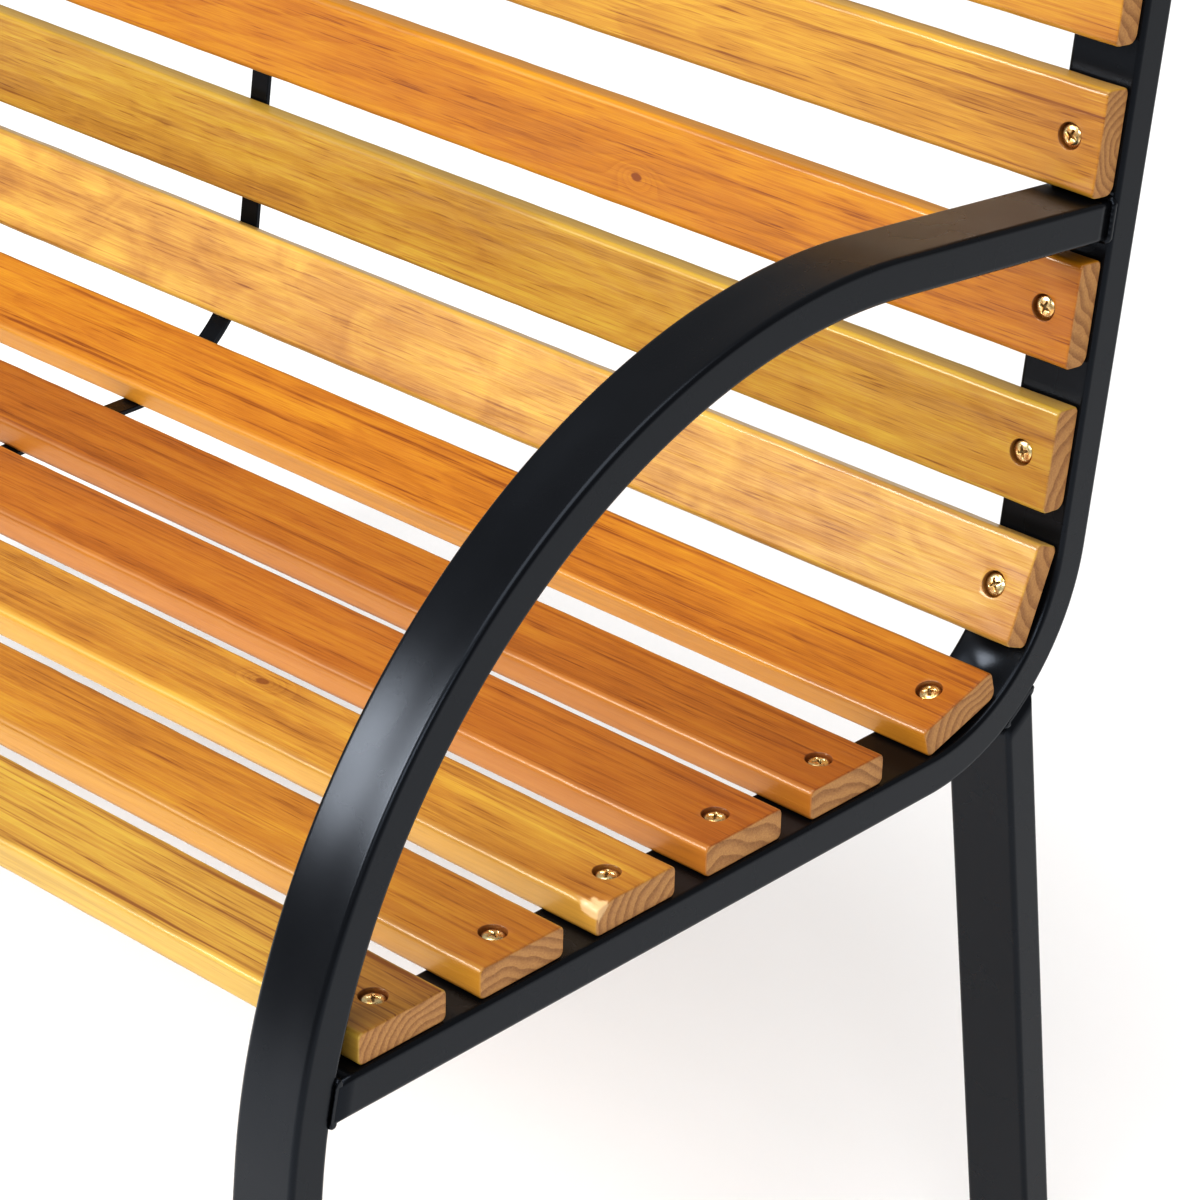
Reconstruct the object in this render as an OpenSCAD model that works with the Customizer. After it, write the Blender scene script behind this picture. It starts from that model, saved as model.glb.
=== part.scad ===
// Garden bench: eleven wooden slats on two welded steel tube end frames.
//
// X runs along the bench, Y from front to back, Z up. The origin is on the
// floor, under the middle of the whole bench.
//
// The side view is worked out from the seat. Point [0, 0] of the side view is
// on top of the seat tube, under the middle of the first slat.

/* [Slats] */
// Length of every slat
slat_len = 1130; // [900:5:1500]
// Width of a slat
slat_w = 52; // [42:0.5:62.5]
// Thickness of a slat
slat_t = 16; // [13:0.1:20]
// Radius on the long edges of a slat
edge_r = 3; // [1.5:0.5:4]
// Larger radius on the edge of a back slat that is lowest and rearmost
soft_edge_r = 5; // [3:0.5:6]
// Radius that eases the sawn ends
end_r = 1; // [0.5:0.1:2]
// Gap between two flat seat slats
seat_gap = 20.6; // [15:0.1:26]
// Gap between two back slats
back_gap = 20.5; // [15:0.1:26]

/* [Side shape] */
// Height of the seat's front edge above the floor
seat_h = 427; // [380:1:520]
// Fall of the seat towards the back, in degrees
seat_slope = 2; // [0:0.5:5]
// Lean of the back from upright, in degrees
recline = 9.2; // [5:0.1:14]
// Inside radius of the tube's bend between seat and back, with slats 52 wide
bend_r = 90; // [75:1:120]
// Gap from the last flat slat to the start of the bend
bend_gap = 35; // [28:1:50]
// Gap from the end of the bend to the slat above it
above_bend_gap = 21; // [18:1:40]
// How far the upright stands past the top slat
upright_over = 8; // [4:1:60]

/* [Steel tube] */
// Width of the tube of the seat, the back and the rear leg
rail_w = 39; // [30:1:50]
// Width of the tube of the arm and the front leg
arm_w = 36; // [28:1:46]
// Depth of all tubes, seen from the side
tube_t = 20; // [16:1:24]
// Wall of the tubes
wall = 1.5; // [1:0.1:2]
// Outside corner radius of the tubes
tube_r = 2.5; // [2:0.1:4]
// How far the tube stands out past the slat ends
rail_out = 3; // [1:0.5:8]

/* [Arm and legs] */
// Radius of the arm's big bend, along the middle of the tube
arm_bend_r = 333; // [300:1:400]
// Fall of the arm towards the back, in degrees
arm_drop = 8; // [4:0.5:10]
// Lean of both legs from upright, in degrees
leg_lean = 6.75; // [3:0.25:9]
// Gap between the front leg and the first slat
leg_gap = 13.5; // [8:0.5:20]
// Gap between the arm and the slat under it
arm_gap_low = 9.5; // [5:0.5:20]
// Gap between the arm and the slat over it
arm_gap_high = 2; // [1.5:0.5:20]
// Place of the rear leg round the bend, in degrees from the seat
rear_leg_turn = 35; // [25:1:45]

/* [Centre strap] */
// Width of the flat bar behind the slats
strap_w = 13; // [12:1:30]
// Thickness of the flat bar
strap_t = 3; // [2:0.5:5]
// How far the bar runs past the middle of its end slats
strap_over = 16; // [10:1:22]

/* [Fasteners] */
// Distance from a slat's end to its screw
screw_inset = 18; // [12:1:24]
// Thread size of the slat screws
screw_d = 6; // [5:0.5:6]
// Head diameter of the slat screws
head_d = 12; // [10:0.5:13]
// Head height of the slat screws
head_h = 3.6; // [2.5:0.1:4.5]
// Depth of the counterbore that the head sits in
sink_depth = 4.4; // [3:0.1:6]
// Thread size of the strap's wood screws
strap_screw_d = 4; // [3:0.5:4.5]
// How deep a strap screw goes into a slat
strap_screw_grip = 10; // [8:0.5:12]

/* [Plastic caps] */
// Thickness of the plate under each leg
foot_t = 3; // [2:0.5:6]
// Thickness of the plate on each upright
top_cap_t = 2.5; // [2:0.5:5]
// Length of a cap's plug inside its tube
plug_len = 15; // [10:1:25]

/* [Hidden] */

$fn = 64;
eps = 0.01;
// Slats on the flat of the seat, in front of the slat that starts the bend
flat_slats = 5;
// All slats: two more in the bend and four on the straight of the back
slat_count = flat_slats + 6;
// A bent length is this much fuller than a straight one, on every side, and a
// straight length runs this far into it
swell = 0.05;
lap = 1;
// Slack where a slat's two edges rest inside the bend
bend_slack = 0.1;
// Slack of a screw in its hole, on the diameter
hole_slack = 0.5;
// Slack of a head in its counterbore, on the diameter
sink_slack = 1;
// Slack of a plug in its tube, on every side
plug_slack = 0.2;
// Slack between a thread and what it screws into, on the diameter
thread_slack = 0.1;
// Washer and nut sizes for the slat screws
washer_d = 2 * screw_d;
washer_t = 1.6;
nut_flats = 1.65 * screw_d;
nut_h = 5;
// Screw end past the nut, and from the tube's slat side to the screw's end
thread_over = 1.5;
screw_reach = tube_t + washer_t + nut_h + thread_over;
// Round corners of a tube are this much tighter inside than outside
inner_r = max(tube_r - wall, 0.5);
// A cross recess in a screw head
recess_w = 1.1;
recess_len = 0.52 * head_d;
recess_depth = 1.8;
// Head of a strap screw
strap_head_d = 2 * strap_screw_d;
strap_head_h = 0.6 * strap_screw_d;

// ---- side view: vectors are [y, z] -------------------------------------

// Directions along the seat and up the back, and their sides towards a sitter
seat_dir = [cos(seat_slope), -sin(seat_slope)];
seat_up = [sin(seat_slope), cos(seat_slope)];
back_dir = [sin(recline), cos(recline)];
back_front = [-cos(recline), sin(recline)];

seat_pitch = slat_w + seat_gap;
back_pitch = slat_w + back_gap;

// Two slats lie across the bend, so it opens as they get wider than bend_slat_w
bend_slat_w = 52;
bend_inner_r = bend_r * slat_w / bend_slat_w;
// Start of the bend, its centre, its sweep and its end
bend_start = (flat_slats - 1) * seat_pitch + slat_w / 2 + bend_gap;
bend_c = bend_start * seat_dir + bend_inner_r * seat_up;
bend_sweep = 90 - recline + seat_slope;
bend_end = bend_c - bend_inner_r * back_front;

// A slat in the bend touches it along two round edges
chord_half = asin((slat_w / 2 - edge_r) / (bend_inner_r - edge_r));
chord_d = edge_r + (bend_inner_r - edge_r) * cos(chord_half) - bend_slack;
chord_inset = 0.5;
seat_turn = chord_half + 2 * chord_inset;
back_turn = bend_sweep - chord_half - chord_inset;

// Places of the four slats on the straight of the back, and of the arm's end
back_2 = above_bend_gap + slat_w / 2;
back_3 = back_2 + back_pitch;
arm_at = back_3 + slat_w / 2 + arm_gap_low + tube_t / 2;
back_4 = arm_at + tube_t / 2 + arm_gap_high + slat_w / 2;
back_5 = back_4 + back_pitch;
upright_len = back_5 + slat_w / 2 + upright_over;

// The arm leaves the upright along arm_fore; its big bend turns round arm_c
// and passes the seat tube's front end just in front of the first slat
arm_joint = bend_end + arm_at * back_dir;
arm_fore = [-cos(arm_drop), sin(arm_drop)];
arm_up = [sin(arm_drop), cos(arm_drop)];
leg_touch = -(slat_w / 2 + leg_gap) * seat_dir;
arm_off = arm_joint - arm_bend_r * arm_up - leg_touch;
arm_inner_r = arm_bend_r - tube_t / 2 - swell;
arm_dot = arm_off * arm_fore;
arm_straight = -arm_dot - sqrt(arm_dot * arm_dot - arm_off * arm_off + arm_inner_r * arm_inner_r);
arm_c = arm_joint + arm_straight * arm_fore - arm_bend_r * arm_up;
arm_sweep = 90 + arm_drop - leg_lean;
leg_top = arm_c + arm_bend_r * [-cos(leg_lean), sin(leg_lean)];

// The floor lies this far under the side view's zero point
floor_z = -(seat_h - slat_t * cos(seat_slope) - slat_w / 2 * sin(seat_slope));
leg_down = (leg_top[1] - floor_z) / cos(leg_lean);
foot_front = leg_top[0] - leg_down * sin(leg_lean) - tube_t / 2 / cos(leg_lean);

// The rear leg's middle line meets the underside of the bend here
rear_top = bend_c + (bend_inner_r + tube_t) * [sin(rear_leg_turn), -cos(rear_leg_turn)];
rear_down = (rear_top[1] - floor_z) / cos(leg_lean);

// The rearmost point is on an upright, on its top screw or on a rear foot
top_rear = bend_end[0] + (upright_len + top_cap_t) * back_dir[0] + tube_t * cos(recline);
screw_rear = bend_end[0] + (back_5 + screw_d / 2) * back_dir[0] + screw_reach * cos(recline);
foot_rear = rear_top[0] + rear_down * sin(leg_lean) + tube_t / 2 / cos(leg_lean);
shift_y = -(foot_front + max(top_rear, screw_rear, foot_rear)) / 2;
shift_z = -floor_z;

// Middle of the end frames, and of the screws, from the bench's middle
frame_x = slat_len / 2 + rail_out - rail_w / 2;
screw_x = slat_len / 2 - screw_inset;

// ---- placing helpers ---------------------------------------------------

// Moves a side view point to its place in the bench
module at_side(p) {
    translate([0, p[0] + shift_y, p[1] + shift_z])
        children();
}

// Local frames on the tube's slat side: Y across the slat, Z out of the tube
module on_seat(s) {
    at_side(s * seat_dir)
        rotate([-seat_slope, 0, 0])
            children();
}

module on_back(s) {
    at_side(bend_end + s * back_dir)
        rotate([90 - recline, 0, 0])
            children();
}

// Puts its children where slat i lies; slats count from the front of the seat
// to the top of the back. raised moves a slat in the bend onto its two edges.
module at_slat(i, raised = true) {
    if (i <= flat_slats)
        on_seat((i - 1) * seat_pitch)
            children();
    if (i == flat_slats + 1)
        at_bend_slat(seat_turn, raised)
            children();
    if (i == flat_slats + 2)
        at_bend_slat(back_turn, raised)
            children();
    if (i == flat_slats + 3)
        on_back(back_2)
            children();
    if (i == flat_slats + 4)
        on_back(back_3)
            children();
    if (i == flat_slats + 5)
        on_back(back_4)
            children();
    if (i == flat_slats + 6)
        on_back(back_5)
            children();
}

// turn is counted from the start of the bend
module at_bend_slat(turn, raised) {
    d = raised ? chord_d : bend_inner_r;
    at_side(bend_c + d * [sin(turn - seat_slope), -cos(turn - seat_slope)])
        rotate([turn - seat_slope, 0, 0])
            children();
}

// Right is +X; the left side is its mirror image
module side(right) {
    if (right)
        children();
    else
        mirror([1, 0, 0])
            children();
}

// ---- profiles ----------------------------------------------------------

// Rectangle w by h with round corners, centred
module round_rect(w, h, r) {
    square([w - 2 * r, h], center = true);
    square([w, h - 2 * r], center = true);
    for (x = [-1, 1], y = [-1, 1])
        translate([x * (w / 2 - r), y * (h / 2 - r)])
            circle(r);
}

// Outline of a tube, or of the space in it
module tube_outline(w, inside = false, fuller = 0) {
    if (inside)
        round_rect(w - 2 * wall + 2 * fuller, tube_t - 2 * wall + 2 * fuller, inner_r);
    else
        round_rect(w + 2 * fuller, tube_t + 2 * fuller, tube_r);
}

// Extrudes a profile drawn in X and depth along local Y, from 0 to len
module along_y(len) {
    rotate([-90, 0, 0])
        linear_extrude(len)
            children();
}

// ---- end frame tubes ---------------------------------------------------

// Seat, bend and back of one frame as a solid bar, or the space inside it
module rail_bar(inside = false, run_out = 0) {
    front = slat_w / 2 + leg_gap + tube_t;
    on_seat(-front)
        translate([frame_x, 0, -tube_t / 2])
            along_y(front + bend_start + lap)
                tube_outline(rail_w, inside);
    at_side(bend_c)
        translate([frame_x, 0, 0])
            rotate([0, 90, 0])
                rotate([0, 0, -seat_slope])
                    rotate_extrude(angle = bend_sweep)
                        translate([bend_inner_r + tube_t / 2, 0])
                            rotate(90)
                                tube_outline(rail_w, inside, swell);
    on_back(-lap)
        translate([frame_x, 0, -tube_t / 2])
            along_y(upright_len + lap + run_out)
                tube_outline(rail_w, inside);
}

// Arm, big bend and front leg of one frame as a solid bar, or the space in it
module arm_bar(inside = false, run_out = 0) {
    over = 6;
    at_side(arm_joint - over * arm_fore)
        translate([frame_x, 0, 0])
            rotate([180 - arm_drop, 0, 0])
                along_y(arm_straight + over + lap)
                    tube_outline(arm_w, inside);
    at_side(arm_c)
        translate([frame_x, 0, 0])
            rotate([0, 90, 0])
                rotate([0, 0, 180 - arm_drop])
                    rotate_extrude(angle = arm_sweep)
                        translate([arm_bend_r, 0])
                            rotate(90)
                                tube_outline(arm_w, inside, swell);
    at_side(leg_top)
        translate([frame_x, 0, 0])
            rotate([-90 - leg_lean, 0, 0])
                translate([0, -lap, 0])
                    along_y(leg_down + lap + run_out)
                        tube_outline(arm_w, inside);
}

// Rear leg of one frame as a solid bar that runs up into the bend
module rear_bar(inside = false, run_out = 0) {
    up = 30;
    at_side(rear_top + up * [-sin(leg_lean), cos(leg_lean)])
        translate([frame_x, 0, 0])
            rotate([-90 + leg_lean, 0, 0])
                along_y(rear_down + up + run_out)
                    tube_outline(rail_w, inside);
}

// Keeps what lies between two heights over the floor
module between_heights(low, high) {
    reach = 2 * slat_len;
    intersection() {
        children();
        translate([-reach / 2, -reach / 2, low])
            cube([reach, reach, high - low]);
    }
}

// Holes for all slat screws of one frame, right through the tube
module rail_holes() {
    for (i = [1:slat_count])
        at_slat(i, false)
            translate([screw_x, 0, -2 * tube_t])
                cylinder(d = screw_d + hole_slack, h = 3 * tube_t);
}

module seat_back_rail(right) {
    color([0.12, 0.12, 0.13])
        side(right)
            difference() {
                rail_bar();
                rail_bar(inside = true, run_out = 1);
                leg_cutter();
                rail_holes();
            }
}

module arm_front_leg(right) {
    color([0.12, 0.12, 0.13])
        side(right)
            difference() {
                between_heights(foot_t, 2 * seat_h)
                    arm_bar(run_out = tube_t);
                arm_bar(inside = true, run_out = 2 * tube_t);
                upright_cutter();
            }
}

// Solid block in the place of the upright, to cut the arm's end to its face
module upright_cutter() {
    on_back(0)
        translate([frame_x - rail_w, 0, -2 * tube_t])
            cube([2 * rail_w, upright_len, 2 * tube_t]);
}

// All that lies beyond the back of the front leg, to cut the seat tube to it
module leg_cutter() {
    block = 4 * tube_t;
    difference() {
        at_side(leg_touch)
            translate([frame_x - rail_w, -block, -block / 2])
                cube([2 * rail_w, block + tube_t, block]);
        at_side(arm_c)
            translate([frame_x, 0, 0])
                rotate([0, 90, 0])
                    cylinder(r = arm_inner_r, h = 3 * rail_w, center = true, $fn = 180);
    }
}

module rear_leg(right) {
    color([0.12, 0.12, 0.13])
        side(right)
            difference() {
                between_heights(foot_t, 2 * seat_h)
                    rear_bar(run_out = tube_t);
                rear_bar(inside = true, run_out = 2 * tube_t);
                bend_cutter();
            }
}

// Solid disc that fills the bend, to cut the rear leg's top to its underside
module bend_cutter() {
    at_side(bend_c)
        translate([frame_x, 0, 0])
            rotate([0, 90, 0])
                cylinder(r = bend_inner_r + tube_t + swell, h = 2 * rail_w, center = true, $fn = 128);
}

// ---- slats -------------------------------------------------------------

// Cross-section of a slat, standing on Y = 0; low_r is the radius of the edge
// that lies against the tube and towards low_side
module slat_outline(low_r, low_side) {
    for (x = [-1, 1], top = [false, true]) {
        r = (!top && x == low_side) ? low_r : edge_r;
        translate([x * (slat_w / 2 - r), top ? slat_t - r : r])
            circle(r);
        translate([x > 0 ? 0 : r - slat_w / 2, top ? slat_t / 2 : 0])
            square([slat_w / 2 - r, slat_t / 2]);
        translate([x > 0 ? 0 : -slat_w / 2, top ? slat_t / 2 : r])
            square([slat_w / 2, slat_t / 2 - r]);
    }
}

// Slat in its local frame: X along, Y across, Z out of the tube
module slat_bar(low_r, low_side) {
    intersection() {
        translate([-slat_len / 2, 0, 0])
            rotate([90, 0, 90])
                linear_extrude(slat_len)
                    slat_outline(low_r, low_side);
        translate([0, 0, -eps])
            linear_extrude(slat_t + 2 * eps)
                round_rect(slat_len, slat_w + 2, end_r);
    }
}

module slat(i, low_r, low_side) {
    color([0.80, 0.50, 0.20])
        at_slat(i)
            difference() {
                slat_bar(low_r, low_side);
                for (x = [-screw_x, screw_x]) {
                    translate([x, 0, -1])
                        cylinder(d = screw_d + hole_slack, h = slat_t + 2);
                    translate([x, 0, slat_t - sink_depth])
                        cylinder(d = head_d + sink_slack, h = sink_depth + 1);
                }
                translate([0, 0, -1])
                    cylinder(d = strap_screw_d, h = strap_screw_grip + 1);
            }
}

module seat_slat_1() { slat(1, edge_r, 1); }
module seat_slat_2() { slat(2, edge_r, 1); }
module seat_slat_3() { slat(3, edge_r, 1); }
module seat_slat_4() { slat(4, edge_r, 1); }
module seat_slat_5() { slat(flat_slats, edge_r, 1); }
module seat_slat_6() { slat(flat_slats + 1, soft_edge_r, 1); }
module back_slat_1() { slat(flat_slats + 2, edge_r, -1); }
module back_slat_2() { slat(flat_slats + 3, soft_edge_r, -1); }
module back_slat_3() { slat(flat_slats + 4, soft_edge_r, -1); }
module back_slat_4() { slat(flat_slats + 5, soft_edge_r, -1); }
module back_slat_5() { slat(flat_slats + 6, soft_edge_r, -1); }

// ---- centre strap ------------------------------------------------------

module centre_strap() {
    color([0.12, 0.12, 0.13])
        difference() {
            union() {
                on_seat(-strap_over)
                    translate([-strap_w / 2, 0, -strap_t])
                        cube([strap_w, bend_start + strap_over + lap, strap_t]);
                at_side(bend_c)
                    rotate([0, 90, 0])
                        rotate([0, 0, -seat_slope])
                            rotate_extrude(angle = bend_sweep, $fn = 128)
                                translate([bend_inner_r - swell, -strap_w / 2 - swell])
                                    square([strap_t + 2 * swell, strap_w + 2 * swell]);
                on_back(-lap)
                    translate([-strap_w / 2, 0, -strap_t])
                        cube([strap_w, back_5 + strap_over + lap, strap_t]);
            }
            for (i = [1:slat_count])
                at_slat(i, false)
                    translate([0, 0, -2 * strap_t])
                        cylinder(d = strap_screw_d + hole_slack, h = 4 * strap_t);
        }
}

// ---- fasteners ---------------------------------------------------------

// Low domed head with a cross recess, standing on Z = 0
module domed_head(d, h, slot_len, slot_w, slot_depth) {
    rim = 0.3 * h;
    rise = h - rim;
    ball_r = (d * d / 4 + rise * rise) / (2 * rise);
    difference() {
        union() {
            cylinder(d = d, h = rim);
            intersection() {
                translate([0, 0, h - ball_r])
                    sphere(ball_r);
                translate([0, 0, rim - eps])
                    cylinder(d = d, h = h);
            }
        }
        for (a = [0, 90])
            rotate(a)
                translate([-slot_len / 2, -slot_w / 2, h - slot_depth])
                    cube([slot_len, slot_w, slot_depth + 1]);
    }
}

// How far the tube's slat side lies under the middle of a slat's underside
function into_bend(i) = (i == flat_slats + 1 || i == flat_slats + 2) ? bend_inner_r - chord_d : 0;

module slat_screws(right) {
    color([0.82, 0.68, 0.38])
        side(right)
            for (i = [1:slat_count]) {
                shank = slat_t - sink_depth + into_bend(i) + screw_reach;
                at_slat(i)
                    translate([screw_x, 0, slat_t - sink_depth]) {
                        domed_head(head_d, head_h, recess_len, recess_w, recess_depth);
                        translate([0, 0, -shank])
                            cylinder(d = screw_d, h = shank);
                    }
            }
}

module slat_washers(right) {
    color([0.75, 0.76, 0.78])
        side(right)
            for (i = [1:slat_count])
                at_slat(i)
                    translate([screw_x, 0, -into_bend(i) - tube_t - washer_t])
                        difference() {
                            cylinder(d = washer_d, h = washer_t);
                            translate([0, 0, -1])
                                cylinder(d = screw_d + hole_slack, h = washer_t + 2);
                        }
}

module slat_nuts(right) {
    color([0.75, 0.76, 0.78])
        side(right)
            for (i = [1:slat_count])
                at_slat(i)
                    translate([screw_x, 0, -into_bend(i) - tube_t - washer_t - nut_h])
                        difference() {
                            cylinder(d = nut_flats / cos(30), h = nut_h, $fn = 6);
                            translate([0, 0, -1])
                                cylinder(d = screw_d + thread_slack, h = nut_h + 2);
                        }
}

// Round head against the back of the strap, thread in the slat
module strap_screws() {
    color([0.15, 0.15, 0.16])
        for (i = [1:slat_count]) {
            under = into_bend(i) + strap_t;
            at_slat(i)
                translate([0, 0, -under])
                    rotate([180, 0, 0]) {
                        domed_head(strap_head_d, strap_head_h, 0.6 * strap_head_d, 0.8, 1.2);
                        translate([0, 0, -under - strap_screw_grip + 0.5])
                            cylinder(d = strap_screw_d - thread_slack, h = under + strap_screw_grip - 0.5);
                    }
        }
}

// ---- plastic caps ------------------------------------------------------

// Plug that fits inside a tube of width w, with slack all round
module plug_outline(w) {
    round_rect(w - 2 * (wall + plug_slack), tube_t - 2 * (wall + plug_slack), inner_r);
}

module front_foot(right) {
    color([0.08, 0.08, 0.08])
        side(right) {
            between_heights(0, foot_t)
                arm_bar(run_out = tube_t);
            between_heights(foot_t - eps, foot_t + plug_len)
                at_side(leg_top)
                    translate([frame_x, 0, 0])
                        rotate([-90 - leg_lean, 0, 0])
                            along_y(leg_down + tube_t)
                                plug_outline(arm_w);
        }
}

module rear_foot(right) {
    color([0.08, 0.08, 0.08])
        side(right) {
            between_heights(0, foot_t)
                rear_bar(run_out = tube_t);
            between_heights(foot_t - eps, foot_t + plug_len)
                at_side(rear_top)
                    translate([frame_x, 0, 0])
                        rotate([-90 + leg_lean, 0, 0])
                            along_y(rear_down + tube_t)
                                plug_outline(rail_w);
        }
}

module top_cap(right) {
    color([0.08, 0.08, 0.08])
        side(right)
            on_back(upright_len)
                translate([frame_x, 0, -tube_t / 2]) {
                    along_y(top_cap_t)
                        tube_outline(rail_w);
                    translate([0, -plug_len, 0])
                        along_y(plug_len + eps)
                            plug_outline(rail_w);
                }
}

seat_back_rail(true);  // seat_back_rail_right
seat_back_rail(false);  // seat_back_rail_left
arm_front_leg(true);  // arm_front_leg_right
arm_front_leg(false);  // arm_front_leg_left
rear_leg(true);  // rear_leg_right
rear_leg(false);  // rear_leg_left
seat_slat_1();
seat_slat_2();
seat_slat_3();
seat_slat_4();
seat_slat_5();
seat_slat_6();
back_slat_1();
back_slat_2();
back_slat_3();
back_slat_4();
back_slat_5();
centre_strap();
slat_screws(true);  // slat_screws_right
slat_screws(false);  // slat_screws_left
slat_washers(true);  // slat_washers_right
slat_washers(false);  // slat_washers_left
slat_nuts(true);  // slat_nuts_right
slat_nuts(false);  // slat_nuts_left
strap_screws();
front_foot(true);  // front_foot_right
front_foot(false);  // front_foot_left
rear_foot(true);  // rear_foot_right
rear_foot(false);  // rear_foot_left
top_cap(true);  // top_cap_right
top_cap(false);  // top_cap_left
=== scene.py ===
# %% [markdown]
# # A garden bench, finished in Blender
#
# The bench is made of wooden boards screwed to two bent steel end frames. Its
# exact solids already exist, and they load here as a fixed frame. This lesson
# puts the visible skin on them: boards with rounded arrises and drilled
# counterbores, bent tubes with the small dents that bending leaves, weld beads
# under the coat, and a finish for each material.
#
# All lengths are in metres. X runs along the bench, Y from front to back and
# Z up, and the floor is at Z = 0.

# %% Load the frame
import math

import bpy
import numpy as np
from mathutils import Matrix, Vector


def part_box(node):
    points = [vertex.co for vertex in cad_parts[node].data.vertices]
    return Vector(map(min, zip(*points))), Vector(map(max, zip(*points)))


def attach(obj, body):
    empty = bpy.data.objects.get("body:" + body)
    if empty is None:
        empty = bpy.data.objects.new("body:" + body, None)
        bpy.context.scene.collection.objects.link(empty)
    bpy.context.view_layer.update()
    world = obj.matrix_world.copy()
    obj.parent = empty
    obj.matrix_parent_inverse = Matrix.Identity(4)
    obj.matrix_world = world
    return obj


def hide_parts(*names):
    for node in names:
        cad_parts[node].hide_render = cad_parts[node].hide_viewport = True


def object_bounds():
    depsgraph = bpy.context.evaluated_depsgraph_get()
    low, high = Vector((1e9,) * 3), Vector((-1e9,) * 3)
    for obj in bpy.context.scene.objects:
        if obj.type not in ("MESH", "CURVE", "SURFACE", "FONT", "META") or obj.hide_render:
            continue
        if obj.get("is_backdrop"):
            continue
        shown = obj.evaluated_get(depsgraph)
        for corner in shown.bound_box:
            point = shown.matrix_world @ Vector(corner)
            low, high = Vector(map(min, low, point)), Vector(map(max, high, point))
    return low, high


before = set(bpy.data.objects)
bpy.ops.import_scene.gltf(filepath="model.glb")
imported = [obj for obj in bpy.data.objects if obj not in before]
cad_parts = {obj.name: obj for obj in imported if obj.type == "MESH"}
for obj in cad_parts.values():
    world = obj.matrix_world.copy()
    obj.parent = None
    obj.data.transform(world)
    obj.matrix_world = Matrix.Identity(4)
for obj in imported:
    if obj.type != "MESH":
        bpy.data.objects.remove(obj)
cad_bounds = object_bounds()
MM = 0.001
link = bpy.context.scene.collection.objects.link
print("CAD box", cad_bounds)

# %% [markdown]
# ## The side view
#
# Everything in the end frames follows one side view: a seat that falls a
# little to the back, a bend, and a back that leans. The same few sizes that
# shape the solids shape the skin, so they are written down once here and the
# rest is worked out. Points and directions of the side view are pairs (y, z).

# %% Sizes of the bench
# Boards: length, width, thickness, the radius of plain and of soft edges
slat_len, slat_w, slat_t = 1130 * MM, 52 * MM, 16 * MM
edge_r, soft_edge_r = 3 * MM, 5 * MM
# Boards that lie flat on the seat, and the gaps between boards
FLAT_BOARDS = 5
seat_gap, back_gap, above_bend_gap = 20.6 * MM, 20.5 * MM, 21 * MM
# Slopes of the seat and the back, and the bend between them
seat_slope, recline = math.radians(2), math.radians(9.2)
bend_r, bend_gap, bend_slack = 90 * MM, 35 * MM, 0.1 * MM
# Tubes: width of rail and arm, depth and corner radius of both
rail_w, arm_w, tube_t, tube_r = 39 * MM, 36 * MM, 20 * MM, 2.5 * MM
rail_out, upright_over = 3 * MM, 8 * MM
# The arm and the legs
arm_bend_r, arm_drop, leg_lean = 333 * MM, math.radians(8), math.radians(6.75)
leg_gap, arm_gap_low, arm_gap_high = 13.5 * MM, 9.5 * MM, 2 * MM
rear_leg_turn, foot_t = math.radians(35), 3 * MM
# Screws, their counterbores, and the strap behind the boards
screw_inset, head_d, sink_depth, sink_r = 18 * MM, 12 * MM, 4.4 * MM, 6.5 * MM
strap_w, strap_t, strap_edge_r, strap_over = 13 * MM, 3 * MM, 0.6 * MM, 16 * MM


def heading(angle):
    """Direction (cos a, sin a) in the side view, from the back's direction +Y."""
    return np.array([math.cos(angle), math.sin(angle)])


# %% Work out the seat, the bend and the back
seat_dir, seat_up = heading(-seat_slope), heading(math.pi / 2 - seat_slope)
back_dir, back_front = heading(math.pi / 2 - recline), heading(math.pi - recline)
bend_start = (FLAT_BOARDS - 1) * (slat_w + seat_gap) + slat_w / 2 + bend_gap
bend_c = bend_start * seat_dir + bend_r * seat_up
bend_sweep = math.pi / 2 - recline + seat_slope
bend_end = bend_c - bend_r * back_front

# A board across the bend rests on its two lower edges, chord_d from the centre
half_chord = math.asin((slat_w / 2 - edge_r) / (bend_r - edge_r))
chord_d = edge_r + (bend_r - edge_r) * math.cos(half_chord) - bend_slack
back_pitch = slat_w + back_gap
back_2 = above_bend_gap + slat_w / 2
arm_at = back_2 + back_pitch + slat_w / 2 + arm_gap_low + tube_t / 2
back_4 = arm_at + tube_t / 2 + arm_gap_high + slat_w / 2
upright_len = back_4 + back_pitch + slat_w / 2 + upright_over

# %% Work out the arm and the legs
# The arm leaves the upright straight, then bends until it passes leg_touch,
# where the rail's end stands against its inner face
arm_joint = bend_end + arm_at * back_dir
arm_fore, arm_up = heading(math.pi - arm_drop), heading(math.pi / 2 - arm_drop)
leg_touch = -(slat_w / 2 + leg_gap) * seat_dir
arm_inner_r = arm_bend_r - tube_t / 2
to_joint = arm_joint - arm_bend_r * arm_up - leg_touch
along = to_joint @ arm_fore
arm_straight = -along - math.sqrt(along**2 - to_joint @ to_joint + arm_inner_r**2)
arm_c = arm_joint + arm_straight * arm_fore - arm_bend_r * arm_up
leg_top = arm_c + arm_bend_r * heading(math.pi - leg_lean)
leg_dir = heading(-math.pi / 2 - leg_lean)
rear_top = bend_c + (bend_r + tube_t) * heading(rear_leg_turn - math.pi / 2)
rear_dir = heading(-math.pi / 2 + leg_lean)

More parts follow.
